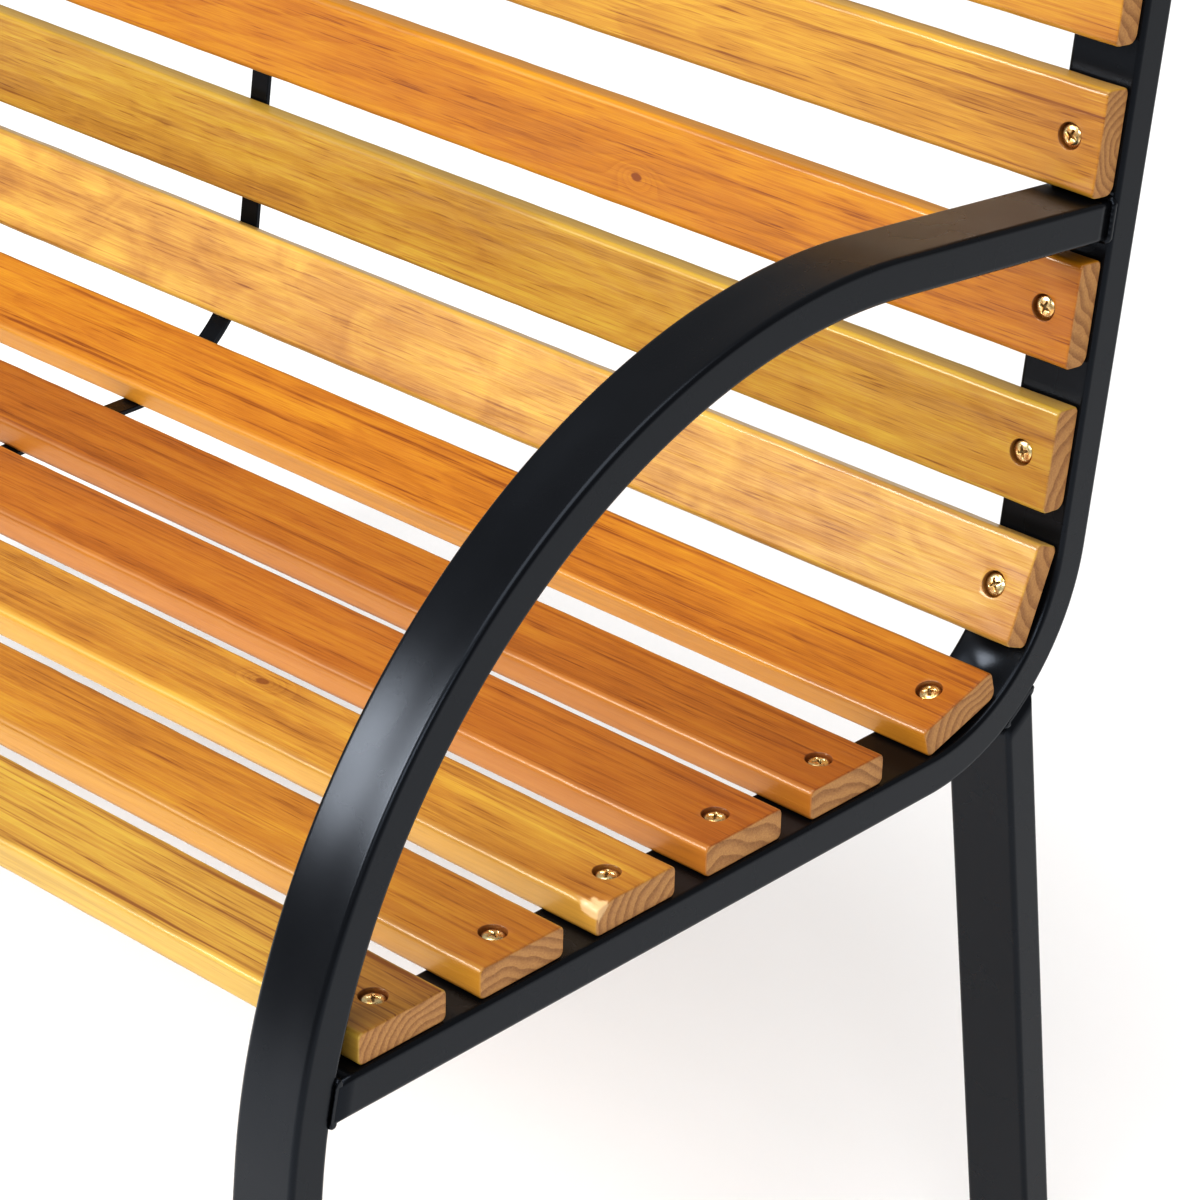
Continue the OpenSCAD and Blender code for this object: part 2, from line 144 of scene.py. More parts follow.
# %% Put the side view in the bench's frame
low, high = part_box("seat_slat_3")
slat_3_mid = (low + high) / 2
slat_3_here = 2 * (slat_w + seat_gap) * seat_dir + slat_t / 2 * seat_up
SHIFT = np.array([slat_3_mid.y, slat_3_mid.z]) - slat_3_here
frame_x = slat_len / 2 + rail_out - rail_w / 2
screw_x = slat_len / 2 - screw_inset
print("side view shifted by", SHIFT.round(5), "frames at x", round(frame_x, 4))

# %% [markdown]
# ## The camera
#
# It stands in front of the bench's right end and looks down across the seat,
# with a long lens from about two metres, so the boards taper only a little.
# Its place is counted from a point under the front board's right end.

# %% Camera
CAMERA_TURN, CAMERA_RISE = math.radians(42.845), math.radians(28.550)
CAMERA_FROM, UNDER_BOARD = Vector((1104.3, -1068.8, 1081.4)) * MM, 33.9 * MM
LENS_MM, SENSOR_MM = 131.83, 36

corner = Vector((slat_len / 2, SHIFT[0], SHIFT[1] - UNDER_BOARD))
camera_at = corner + CAMERA_FROM
right = Vector((math.cos(CAMERA_TURN), math.sin(CAMERA_TURN), 0))
back = Vector((math.sin(CAMERA_TURN) * math.cos(CAMERA_RISE),
               -math.cos(CAMERA_TURN) * math.cos(CAMERA_RISE), math.sin(CAMERA_RISE)))
up = back.cross(right)
lens = bpy.data.cameras.new("camera")
lens.sensor_width, lens.lens, lens.clip_end = SENSOR_MM, LENS_MM, 50
camera = bpy.data.objects.new("camera", lens)
turned = Matrix((right, up, back)).transposed().to_4x4()
camera.matrix_world = Matrix.Translation(camera_at) @ turned
link(camera)
bpy.context.scene.camera = camera
print("camera at", [round(c, 3) for c in camera_at])

# %% [markdown]
# ## Meshes from whole arrays
#
# A skin here is a grid of points worked out with numpy in one go, and quads
# between neighbours. These helpers turn points and faces into a closed mesh
# whose faces point outwards, and put it in the scene riding on the bench.

# %% Faces of a grid
def grid_quads(rows, cols):
    """Quads between neighbouring rows; the columns close into a ring. Shape (rows - 1, cols, 4)."""
    r = np.arange(rows - 1)[:, None] * cols
    c = np.arange(cols)[None, :]
    n = (c + 1) % cols
    return np.stack([r + c, r + n, r + cols + n, r + cols + c], -1)


def grid_ends(rows, cols):
    """The last row as one face, and the first row as one that faces the other way."""
    return [((rows - 1) * cols + np.arange(cols))[None], np.arange(cols)[None, ::-1]]


def volume_of(points, faces):
    """Signed volume: the sum of tetrahedra from the origin to each fan triangle."""
    total = 0.0
    for f in faces:
        for k in range(1, f.shape[1] - 1):
            a, b, c = points[f[:, 0]], points[f[:, k]], points[f[:, k + 1]]
            total += np.einsum("ij,ij->", a, np.cross(b, c)) / 6
    return total


# %% Points and faces into a piece
def new_piece(name, points, faces, material, slot, flat=0, **marks):
    """One closed mesh from points (n, 3) and arrays of faces, one face a row. The last `flat`
    arrays are flat faces. marks are values kept on the points, one number or vector each."""
    middle = points.mean(0)
    if volume_of(points - middle, faces) < 0:
        faces = [f[:, ::-1] for f in faces]
    corners = np.concatenate([f.ravel() for f in faces])
    sizes = np.concatenate([np.full(len(f), f.shape[1]) for f in faces])
    mesh = bpy.data.meshes.new(name)
    mesh.vertices.add(len(points))
    mesh.vertices.foreach_set("co", points.astype(np.float32).ravel())
    mesh.loops.add(len(corners))
    mesh.loops.foreach_set("vertex_index", corners.astype(np.int32))
    mesh.polygons.add(len(sizes))
    mesh.polygons.foreach_set("loop_start", (np.cumsum(sizes) - sizes).astype(np.int32))
    mesh.update(calc_edges=True)
    smooth = np.ones(len(sizes), bool)
    if flat:
        smooth[-sum(len(f) for f in faces[-flat:]):] = False
    mesh.polygons.foreach_set("use_smooth", smooth)
    for mark, values in marks.items():
        vector = np.ndim(values) == 2
        layer = mesh.attributes.new(mark, "FLOAT_VECTOR" if vector else "FLOAT", "POINT")
        flat_values = np.asarray(values, np.float32).ravel()
        layer.data.foreach_set("vector" if vector else "value", flat_values)
    mesh.materials.append(material)
    piece = bpy.data.objects.new(name, mesh)
    link(piece)
    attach(piece, "root")
    return piece


def print_fit(name, points, node):
    """Prints how far a piece's box lies off its solid's, low and high corner, in mm."""
    low, high = (np.array(corner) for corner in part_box(node))
    print(name, len(points), "points; off the solid by mm",
          ((points.min(0) - low) / MM).round(2), ((points.max(0) - high) / MM).round(2))


# %% Slow curves
def smoothstep(x):
    """0 below 0, 1 above 1 and 3x² - 2x³ between."""
    x = np.clip(x, 0, 1)
    return x * x * (3 - 2 * x)


def ripple(seed, *axes, sines=8, slowest=5, fastest=40):
    """A slow random swell between about -1 and 1: a sum of sines of the given coordinates, in
    metres, with between `slowest` and `fastest` waves a metre."""
    rng = np.random.default_rng(seed)
    total = 0
    for k in range(sines):
        waves = rng.uniform(slowest, fastest, len(axes)) * rng.choice([-1, 1], len(axes))
        phase = sum(2 * math.pi * w * a for w, a in zip(waves, axes))
        total = total + np.sin(phase + rng.uniform(0, 2 * math.pi))
    return total / (sines / 2)


# %% [markdown]
# ## Shader arithmetic
#
# A shader tree is easier to read as formulas. `Wire` wraps one output socket
# and gives it plus, minus, times, divide and power, which add Math nodes.
# `Finish` is a material being built: `node` makes any other node from its
# type, its settings and its inputs.

# %% A socket that can be calculated with
class Wire:
    """One output socket; arithmetic with numbers or other wires adds Math nodes."""

    def __init__(self, finish, socket):
        self.finish, self.socket = finish, socket

    def call(self, operation, other=0.0):
        """Any one- or two-value Math function, such as FRACT, ABSOLUTE or MAXIMUM."""
        return self.finish.node("Math", {"operation": operation}, {0: self, 1: other})

    def __rsub__(self, other):
        return self.finish.node("Math", {"operation": "SUBTRACT"}, {0: other, 1: self})

    __add__ = __radd__ = lambda self, other: self.call("ADD", other)
    __mul__ = __rmul__ = lambda self, other: self.call("MULTIPLY", other)
    __sub__ = lambda self, other: self.call("SUBTRACT", other)
    __truediv__ = lambda self, other: self.call("DIVIDE", other)
    __pow__ = lambda self, other: self.call("POWER", other)


# %% A material being built
class Finish:
    """A material with one Principled shader, and methods that add nodes to it."""

    def __init__(self, name):
        self.material = bpy.data.materials.new(name)
        self.material.use_nodes = True
        self.tree = self.material.node_tree
        self.shader = self.tree.nodes["Principled BSDF"]

    def node(self, kind, settings=None, inputs=None, out=0):
        """A node of type ShaderNode + kind. settings are its properties, set first; `stops`
        fills a ramp. inputs maps socket names or numbers to values or wires."""
        node = self.tree.nodes.new("ShaderNode" + kind)
        for key, value in (settings or {}).items():
            if key == "stops":
                self._fill(node.color_ramp, value)
            else:
                setattr(node, key, value)
        for key, value in (inputs or {}).items():
            self.put(node.inputs[key], value)
        return Wire(self, node.outputs[out])

    def _fill(self, ramp, stops):
        while len(ramp.elements) < len(stops):
            ramp.elements.new(1)
        for element, (place, colour) in zip(ramp.elements, stops):
            element.position, element.color = place, (*colour, 1)

    def put(self, socket, value):
        """Links a wire to a socket, or sets the socket's own value; a colour gets its alpha."""
        if isinstance(value, Wire):
            self.tree.links.new(value.socket, socket)
        elif socket.type == "RGBA" and len(value) == 3:
            socket.default_value = (*value, 1)
        else:
            socket.default_value = value

    def set(self, **inputs):
        """Shader sockets by name, with _ for a space: set(Base_Color=wire, Roughness=0.4)."""
        for key, value in inputs.items():
            self.put(self.shader.inputs[key.replace("_", " ")], value)
        return self.material

    def mark(self, name):
        """The number that new_piece kept on the points under this name; 0 where there is none."""
        return self.node("Attribute", {"attribute_name": name}, out=2)

    def mix(self, share, a, b, how="MIX"):
        """Colour a, going to colour b as share goes from 0 to 1."""
        return self.node("Mix", {"data_type": "RGBA", "blend_type": how},
                         {0: share, 6: a, 7: b}, out=2)

    def scaled(self, vector, factors):
        """A vector times three numbers."""
        return self.node("VectorMath", {"operation": "MULTIPLY"}, {0: vector, 1: factors})

    def noise(self, vector, scale=1.0, detail=2.0, rough=0.5, distortion=0.0):
        """Noise between about 0 and 1 on a vector."""
        return self.node("TexNoise", {}, {"Vector": vector, "Scale": scale, "Detail": detail,
                                          "Roughness": rough, "Distortion": distortion})

    def between(self, value, low, high):
        """0 where value is under low, 1 where it is over high, smooth between."""
        return self.node("MapRange", {"interpolation_type": "SMOOTHSTEP"},
                         {0: value, 1: low, 2: high})

    def bumped(self, height, distance):
        """The normal of a surface that rises by height times distance."""
        return self.node("Bump", {}, {"Height": height, "Distance": distance})


# %% Colours
def paint(r, g, b):
    """A screen colour in 0 to 255 as the linear values that shaders use."""
    return tuple(((c / 255 + 0.055) / 1.055) ** 2.4 for c in (r, g, b))


def times(values, *factors):
    """Two or three values, such as a colour's, times one number or each times its own."""
    return tuple(v * k for v, k in zip(values, factors * 3 if len(factors) == 1 else factors))


# %% [markdown]
# ## The boards
#
# A board is one closed outline carried along X: flats, and quarter rounds at
# the four long edges. It could be a cube with a Bevel modifier, but the round
# counterbores near its ends are easier to join to a grid that is laid out for
# them: a square of the top face is left out, and rings of points lead from
# that square to the circle, over its lip, down the wall and across the floor.
# Each point also keeps where it is in the board, as (along, across, up), and
# the wood finish later reads that, so the grain runs through the board from
# face to face and comes out on the sawn end as growth rings.

# %% The outline of a board
SINK_HALF, SINK_STEPS = 9 * MM, 8  # the square round a counterbore, and its steps
GRID, TIP = 2 * MM, 0.5 * MM  # steps of the top face, and the short ones by a round


def quarter(centre, radius, start, steps=6):
    """Points on a quarter circle about centre, turning clockwise from the angle start."""
    a = start - np.linspace(0, math.pi / 2, steps + 1)[1:-1]
    return centre + radius * np.stack([np.cos(a), np.sin(a)], 1)


def board_outline(rear_low_r, front_low_r):
    """Closed outline (across, up) of a board that stands on up = 0, clockwise from the top
    front. Returns the points, 1 for each on a round edge, and the column where the counterbore's
    square starts."""
    half = slat_w / 2
    reach = half - edge_r
    square = np.linspace(-SINK_HALF, SINK_HALF, SINK_STEPS + 1)
    inward = np.arange(reach - TIP - GRID, SINK_HALF + GRID / 2, -GRID)
    side = np.array([reach, reach - TIP, *inward])
    top = np.concatenate([-side, square, side[::-1]])
    lows = np.linspace(half - rear_low_r, -(half - front_low_r), 9)
    lows = np.concatenate([lows[:1], lows[:1] - TIP, lows[1:-1], lows[-1:] + TIP, lows[-1:]])
    wall_top = slat_t - edge_r
    walls = lambda r: np.array([wall_top, wall_top - TIP, slat_t / 2, r + TIP, r])
    rear, front = walls(rear_low_r), walls(front_low_r)[::-1]
    flat = lambda across, up: (np.stack(np.broadcast_arrays(across, up), 1), 0)
    parts = [
        flat(top, slat_t),
        (quarter([reach, wall_top], edge_r, math.pi / 2), 1),
        flat(half, rear),
        (quarter([half - rear_low_r, rear_low_r], rear_low_r, 0), 1),
        flat(lows, 0.0),
        (quarter([front_low_r - half, front_low_r], front_low_r, -math.pi / 2), 1),
        flat(-half, front),
        (quarter([-reach, wall_top], edge_r, math.pi), 1),
    ]
    points = np.concatenate([p for p, _ in parts])
    rounded = np.concatenate([np.full(len(p), m) for p, m in parts])
    return points, rounded, len(side)


# %% Stations along a board
END_R = 1 * MM
END_STEP, MIDDLE_STATIONS = 1.6 * MM, 60


def board_stations():
    """Places along a board's right half, from its eased end to its middle, close together round
    the screw. Returns them, how far the outline shrinks at each, and the square's first row."""
    half = slat_len / 2
    turn = np.linspace(0, math.pi / 2, 5)[::-1]
    eased = half - END_R * (1 - np.sin(turn))
    near = np.arange(half - END_R - END_STEP, screw_x + SINK_HALF + END_STEP / 2, -END_STEP)
    square = screw_x - np.linspace(-SINK_HALF, SINK_HALF, SINK_STEPS + 1)
    middle = np.linspace(screw_x - SINK_HALF, 0, MIDDLE_STATIONS)[1:]
    plus = np.concatenate([eased, near, square, middle])
    shrink = np.zeros(len(plus))
    shrink[:len(turn)] = END_R * (1 - np.cos(turn))
    return plus, shrink, len(turn) + len(near)


# %% Counterbores
LIP = 0.35 * MM  # the broken edge of a counterbore


def sink_rings(border):
    """Rings from a square border of the top face (n, 3) to a counterbore: the circle, its rounded
    lip, the wall and the floor. The border's own angles are kept, so the rings don't twist."""
    centre = border.mean(0)
    angle = np.arctan2(border[:, 1] - centre[1], border[:, 0] - centre[0])
    circle = np.stack([np.cos(angle), np.sin(angle), np.zeros(len(angle))], 1)
    rings = [0.5 * border + 0.5 * (centre + circle * (sink_r + LIP))]
    for radius, depth in [(sink_r + LIP, 0), (sink_r + 0.3 * LIP, 0.3 * LIP), (sink_r, LIP),
                          (sink_r, 0.5 * sink_depth), (sink_r, sink_depth),
                          (0.5 * sink_r, sink_depth)]:
        rings.append(centre + circle * radius - np.array([0, 0, depth]))
    return rings


def counterbored(points, rows, cols, first, across):
    """Leaves a square out of a board's top face, from row `first` and column `across`, and one at
    the other end, and leads rings into both counterbores. Returns the curved faces, the two
    floors and the rings' points."""
    quads = grid_quads(rows, cols)
    keep = np.ones(quads.shape[:2], bool)
    faces, floors, extra = [], [], []
    total = len(points)
    s = np.arange(SINK_STEPS)
    for row in (first, rows - 1 - first - SINK_STEPS):
        far_row, far_col = row + SINK_STEPS, across + SINK_STEPS
        keep[row:far_row, across:far_col] = False
        border = np.concatenate([row * cols + across + s, (row + s) * cols + far_col,
                                 far_row * cols + far_col - s, (far_row - s) * cols + across])
        count = len(border)
        rings = sink_rings(points[border])
        chain = [border] + [total + k * count + np.arange(count) for k in range(len(rings))]
        for a, b in zip(chain, chain[1:]):
            faces.append(np.stack([a, np.roll(a, -1), np.roll(b, -1), b], 1))
        floors.append(chain[-1][None])
        extra += rings
        total += len(rings) * count
    return [quads[keep]] + faces, floors, np.concatenate(extra)


# %% Planing and wear
PLANED, SIDE_WAVE = 0.12 * MM, 0.1 * MM  # how far the faces are from flat
CHIP_DEEP, CHIP_IN = 1.6 * MM, 0.8 * MM  # how much a chip takes off the top and the front


def weathered(local, seed, chip):
    """Moves a board's points as planing and wear leave them: its faces swell a little, and a
    ragged corner `chip` long is off at the right front end. Returns how bare each point is."""
    swell = PLANED * ripple(seed, local[:, 0], 2 * local[:, 1])
    local[:, 2] -= (swell + PLANED) * (local[:, 2] > slat_t / 2)
    outer = np.sign(local[:, 1]) * (np.abs(local[:, 1]) > slat_w / 2 - edge_r)
    local[:, 1] += SIDE_WAVE * ripple(seed + 1, local[:, 0]) * outer
    if not chip:
        return np.zeros(len(local))
    gone = np.hypot((slat_len / 2 - local[:, 0]) / chip,
                    (local[:, 1] + slat_w / 2) / (0.75 * chip))
    gone += 0.18 * ripple(seed + 2, 6 * local[:, 0], 6 * local[:, 1])
    upper = smoothstep((local[:, 2] - slat_t / 2) / (slat_t / 2 - edge_r))
    worn = smoothstep(1.3 - gone) * upper
    local[:, 2] -= CHIP_DEEP * worn
    local[:, 1] += CHIP_IN * worn * (local[:, 1] < 0)
    return worn


# %% The skin of a board
def board(name, node, turn, at, low_r, material, slot, seed, chip=0):
    """A board's outline carried along X, then set in the bench: at is where the middle of its
    underside lies in the side view, turn its angle, and low_r the radii of its rear and front
    lower edges."""
    outline, rounded, across = board_outline(*low_r)
    plus, shrink, first = board_stations()
    x = np.concatenate([plus, -plus[-2::-1]])
    inset = np.concatenate([shrink, shrink[-2::-1]])
    rows, cols = len(x), len(outline)
    core = np.array([0, slat_t / 2])
    half_size = np.array([slat_w, slat_t]) / 2

    shape = (outline - core)[None] * (1 - inset[:, None, None] / half_size) + core
    lengthwise = np.broadcast_to(x[:, None, None], (rows, cols, 1))
    points = np.concatenate([lengthwise, shape], 2).reshape(-1, 3)
    faces, floors, sinks = counterbored(points, rows, cols, first, across)
    local = np.concatenate([points, sinks])
    none = np.zeros(len(sinks))
    marks = {
        "board": local.copy(),
        "arris": np.concatenate([np.broadcast_to(rounded, (rows, cols)).ravel(), none]),
        "sawn": np.concatenate([np.repeat(inset / END_R, cols), none]),
        "drilled": np.concatenate([np.zeros(len(points)), sinks[:, 2] < slat_t - 0.1 * MM]),
        "bare": weathered(local, seed, chip),
    }
    y, z = heading(turn), heading(turn + math.pi / 2)
    placed = np.empty_like(local)
    placed[:, 0] = local[:, 0]
    placed[:, 1:] = at + SHIFT + local[:, 1:2] * y + local[:, 2:3] * z
    ends = grid_ends(rows, cols)
    piece = new_piece(name, placed, faces + floors + ends, material, slot,
                      flat=len(floors + ends), **marks)
    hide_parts(node)
    print_fit(name, placed, node)


# %% [markdown]
# ## The wood finish
#
# A board is cut from a log, so its figure is worked out from the log: each
# point's distance from the log's centre line, divided by a ring's thickness,
# counts the rings, and a slow wander in that centre line bends them. Where
# the log lies askew in the board, the rings come out on the top face as long
# pointed arches. Fibres are noise drawn out along the grain. All of it reads
# the place in the board, so every face shows the same tree. Each board gets
# its own log, tones and knots, under the same satin varnish.

# %% Growth rings
WANDER = 30 * MM  # how far the log's centre line strays
KNOT_LONG, KNOT_RINGS = 1.7, 4.0  # a knot's length to its width, and the rings it pushes aside


def growth_rings(f, place, grain, pith, skew, ring, knots):
    """Rings counted from the log's centre line. Returns the late wood, 1 in the dark part of a
    ring, and the hearts of the knots."""
    x, v, w = place
    dv = v - pith[0] - x * skew[0] + (grain(2.3, 14) - 0.5) * WANDER
    dw = w - pith[1] - x * skew[1] + (grain(3.1, 17) - 0.5) * WANDER
    rings = (dv * dv + dw * dw) ** 0.5 / ring + grain(9, 60) * 0.9
    heart = 0.0
    for kx, kv, radius in knots:
        away = (((x - kx) / KNOT_LONG) ** 2.0 + (v - kv) ** 2.0) / radius**2
        rings = rings + (away * -1).call("EXPONENT") * KNOT_RINGS
        heart = heart + f.between(away, 0.14, 0.02)
    part = rings.call("FRACT")
    return f.between(part, 0.25, 0.9) - f.between(part, 0.92, 1.0), heart


# %% Tone of the wood along its fibres
def wood_depth(f, late, heart, grain, streaks, figure):
    """How far the tone is from light, 0, to dark, 1. Fibres, blotches and bands swing it both
    ways; streaks, flecks and knots darken it. Returns it, both fibres and the blotches."""
    fibre, fine = grain(16, 620, 3, 0.65), grain(45, 2300, 2, 0.6)
    blotch, band = grain(3.5, 22, 3, 0.55), grain(1.3, 75)
    dark = f.between(grain(3.6, 260, 3, 0.6), 0.52, 0.68)
    curl = grain(20, 36, 3, 0.5, 1.4) - 0.5
    fleck = f.between(grain(28, 850), 0.60, 0.72)
    depth = late * 0.10 + dark * streaks + curl * figure + fleck * 0.38 + heart * 0.8 + 0.36
    for swing, share in ((fibre, 0.85), (fine, 0.55), (blotch, 0.9), (band, 0.6)):
        depth = depth + (swing - 0.5) * share
    return depth, fibre, fine, blotch


# %% Varnished wood
SAWN, SAWN_DARK, RAW = paint(182, 134, 80), paint(128, 84, 46), paint(208, 170, 122)
PAINTED_BORE_SHADE = paint(92, 50, 22)  # painted shade that darkens a counterbore's wall and floor
STAIN = (0.74, 0.56, 0.46)  # what stained wood keeps of its colour
EDGE_TAN = (1.28, 1.62, 2.2)  # the paler long edges, times the middle tone
STAINED_FROM, STAINED_TO = slat_len / 2 - 30 * MM, slat_len / 2 + 60 * MM


def varnished_wood(name, tones, pith, skew, ring, seed, knots, streaks, figure):
    """tones are the light, middle and dark of the wood. pith is where the log's centre lies at
    the board's middle, (across, up), and skew how far it moves for each metre along. ring is the
    thickness of a growth ring; knots are (along, across, radius). Lengths in metres."""
    f = Finish(name)
    at = f.node("Attribute", {"attribute_name": "board"}, out=1)
    x, v, w = (Wire(f, s) for s in f.node("SeparateXYZ", {}, {0: at}).socket.node.outputs)
    own_tree = (seed * 1.7, seed * 0.31, seed * 0.17)
    moved = f.node("VectorMath", {"operation": "ADD"}, {0: at, 1: own_tree})

    def grain(along, across, detail=2, rough=0.5, distortion=0.0):
        """Noise with about so many spots a metre along the board and across it."""
        return f.noise(f.scaled(moved, (along, across, across)), 1, detail, rough, distortion)

    late, heart = growth_rings(f, (x, v, w), grain, pith, skew, ring, knots)
    depth, fibre, fine, blotch = wood_depth(f, late, heart, grain, streaks, figure)
    light, middle, dark = tones
    colour = f.node("ValToRGB", {"stops": [(0.0, light), (0.45, middle), (1.0, dark)]}, {0: depth})

    stained = f.between(grain(2.4, 17, 3, 0.6), 0.50, 0.70) * 0.5
    ended = f.between(x.call("ABSOLUTE") + blotch * 0.12, STAINED_FROM, STAINED_TO) * 0.6
    colour = f.mix(stained.call("MAXIMUM", ended), colour, STAIN, "MULTIPLY")
    edge = f.between(v.call("ABSOLUTE"), slat_w / 2 - 1.6 * MM, slat_w / 2 - 0.4 * MM)
    colour = f.mix(edge * 0.6, colour, times(middle, *EDGE_TAN))
    # Along the rounded arrises: in some stretches a dark line of pooled varnish, in others a
    # painted highlight in the light tone.
    arris_varnish_and_highlight = f.mix(f.between(grain(5, 9), 0.42, 0.58), times(middle, 0.55), light)
    colour = f.mix(f.mark("arris") * 0.4, colour, arris_varnish_and_highlight)

    sawn = f.between(f.mark("sawn"), 0.15, 0.8)
    end_tone = f.node("ValToRGB", {"stops": [(0.2, SAWN), (0.9, SAWN_DARK)]},
                      {0: late * 0.38 + grain(300, 1500) * 0.75})
    colour = f.mix(sawn, colour, end_tone)
    # Painted shade: the counterbore's points go most of the way to a dark brown.
    colour = f.mix(f.mark("drilled") * 0.75, colour, PAINTED_BORE_SHADE)
    bare = f.mark("bare")
    colour = f.mix(f.between(bare + (fine - 0.5) * 0.5, 0.25, 0.6), colour, RAW)

    f.set(Base_Color=colour, IOR=1.4, Coat_Roughness=0.12, Coat_IOR=1.45,
          Roughness=(fibre - 0.5) * 0.25 + 0.42 + sawn * 0.25,
          Coat_Weight=(1 - sawn * 0.9) * (1 - bare) * (1 - edge * 0.5) * 0.33,
          Normal=f.bumped(fibre * 0.5 + fine * 0.3 + late * 0.35, 0.12 * MM))
    return f.material


# %% [markdown]
# ## Eleven boards
#
# A board's tones come from the colour that it shows on the stage. The lights
# lift that colour, so the wood's own one is deeper. Its light tone is paler
# and its dark one redder, as where varnish soaks in.

# %% Tones and places of the boards
OWN_SHARE = (0.68, 0.69, 0.50)    # the wood's own colour for each part of the colour shown
LIGHT_TONE, DARK_TONE = (1.28, 1.65, 1.6), (0.45, 0.30, 0.24)
FIRST_ABOVE, SECOND_BELOW = math.radians(1), math.radians(0.5)  # play of the bend's boards


def tones_of(shown):
    """Light, middle and dark tone of a board from its middle colour as shown, 0 to 255."""
    middle = times(paint(*shown), *OWN_SHARE)
    return times(middle, *LIGHT_TONE), middle, times(middle, *DARK_TONE)


def seat_place(k):
    """Turn and place of flat seat board k, counted from the front."""
    return -seat_slope, (k - 1) * (slat_w + seat_gap) * seat_dir


def bend_place(turn):
    """Turn and place of a board in the bend, turn counted from the bend's start."""
    a = turn - seat_slope
    return a, bend_c + chord_d * heading(a - math.pi / 2)


def back_place(s):
    """Turn and place of a board whose middle is s above the bend's end."""
    return math.pi / 2 - recline, bend_end + s * back_dir


plain_low, soft_rear, soft_low = (edge_r, edge_r), (soft_edge_r, edge_r), (edge_r, soft_edge_r)
places = {f"seat_{k}": (*seat_place(k), plain_low) for k in range(1, FLAT_BOARDS + 1)}
places["seat_6"] = (*bend_place(half_chord + FIRST_ABOVE), soft_rear)
places["back_1"] = (*bend_place(bend_sweep - half_chord - SECOND_BELOW), plain_low)
for k, s in enumerate((back_2, back_2 + back_pitch, back_4, back_4 + back_pitch), 2):
    places[f"back_{k}"] = (*back_place(s), soft_low)

# %% Make the boards
# Colour shown; the log's centre, mm; its skew; ring, mm; streaks; figure; knots, mm
woods = {
    "seat_1": ((194, 143, 66), (12, -30), (0.010, 0.040), 4.2, 0.60, 0.2, ()),
    "seat_2": ((190, 124, 47), (-40, -45), (0.050, 0.015), 5.0, 0.25, 0.3, ()),
    "seat_3": ((200, 139, 62), (20, -50), (0.030, 0.060), 5.5, 0.20, 0.4, ((310, 14, 7),)),
    "seat_4": ((180, 105, 40), (8, -60), (-0.030, 0.020), 6.0, 0.30, 0.3, ()),
    "seat_5": ((175, 101, 37), (-30, -40), (0.020, -0.030), 5.8, 0.35, 0.3, ()),
    "seat_6": ((190, 117, 38), (2, -35), (0.020, 0.045), 4.8, 0.45, 0.3, ()),
    "back_1": ((203, 147, 77), (25, -55), (0.060, 0.030), 7.5, 0.15, 0.9, ()),
    "back_2": ((190, 140, 60), (-50, -50), (0.030, 0.040), 8.5, 0.20, 0.5, ()),
    "back_3": ((194, 120, 26), (30, -48), (0.045, -0.035), 6.0, 0.25, 0.3, ((290, -8, 7),)),
    "back_4": ((198, 140, 57), (-15, -32), (0.015, 0.050), 4.6, 0.50, 0.2, ()),
    "back_5": ((194, 130, 46), (20, -45), (0.030, 0.040), 6.0, 0.30, 0.3, ()),
}
CHIPPED, CHIP_LONG = "seat_3", 11 * MM
FIRST_LOG, FIRST_SEED, SEEDS_EACH = 3.1, 40, 3

for number, (key, (turn, at, low_r)) in enumerate(places.items()):
    part, k = key.split("_")
    shown, pith, skew, ring, streaks, figure, knots = woods[key]
    finish = varnished_wood(f"varnished_wood_{key}", tones_of(shown), times(pith, MM), skew,
                            ring * MM, FIRST_LOG + number, [times(knot, MM) for knot in knots],
                            streaks, figure)
    board(f"board_{key}", f"{part}_slat_{k}", turn, at, low_r, finish, f"{part}_wood",
          FIRST_SEED + SEEDS_EACH * number, chip=CHIP_LONG if key == CHIPPED else 0)

# %% [markdown]
# ## Bent tubes
#
# The frames are rectangular tube with small round corners. A curve with a
# bevel profile could make them, but a tube's end has to fit what it is welded
# to, and a bend dents the tube a little, so the tube is a grid: an outline
# carried along the side view, row by row. Each point of the outline finds its
# own end on the face that it meets. Inside the tight bend the wall buckles
# inward between the corners, and on the long bend of the arm it only hollows.

# %% Outline of a tube
def tube_outline(width, depth, radius, across=15, steps=5):
    """Closed outline (across, out), clockwise from the top left, with short flats next to the
    round corners."""
    a, b = width / 2 - radius, depth / 2 - radius
    tip = min(TIP, a / 4, b / 4)
    wide = np.concatenate([[-a], np.linspace(-a + tip, a - tip, across), [a]])
    tall = np.array([b, b - tip, 0, tip - b, -b])
    q = lambda x, y, start: quarter([x, y], radius, start, steps)
    flat = lambda x, y: np.stack(np.broadcast_arrays(x, y), 1)
    return np.concatenate([
        flat(wide, depth / 2), q(a, b, math.pi / 2), flat(width / 2, tall), q(a, -b, 0),
        flat(-wide, -depth / 2), q(-a, -b, -math.pi / 2), flat(-width / 2, -tall),
        q(-a, b, math.pi)])


# %% Rows of a tube
def straight_rows(origin, direction, normal, out, start, end, rows):
    """Side view points (rows, outline, 2) of a straight length, from start to end, distances from
    origin for all points or for each; out is each point's distance from the middle line."""
    s = start + (end - start) * np.linspace(0, 1, rows)[:, None] * np.ones(len(out))
    return origin + s[..., None] * direction + out[None, :, None] * normal


def bend_rows(centre, radius, start, sweep, out, rows):
    """Side view points of a bend: circles about centre with radius + out, from the angle start
    over sweep. out may differ from row to row."""
    a = start + sweep * np.linspace(0, 1, rows)
    around = np.stack([np.cos(a), np.sin(a)], 1)
    reach = np.broadcast_to(radius + out, (rows, out.shape[-1]))
    return centre + reach[..., None] * around[:, None, :]


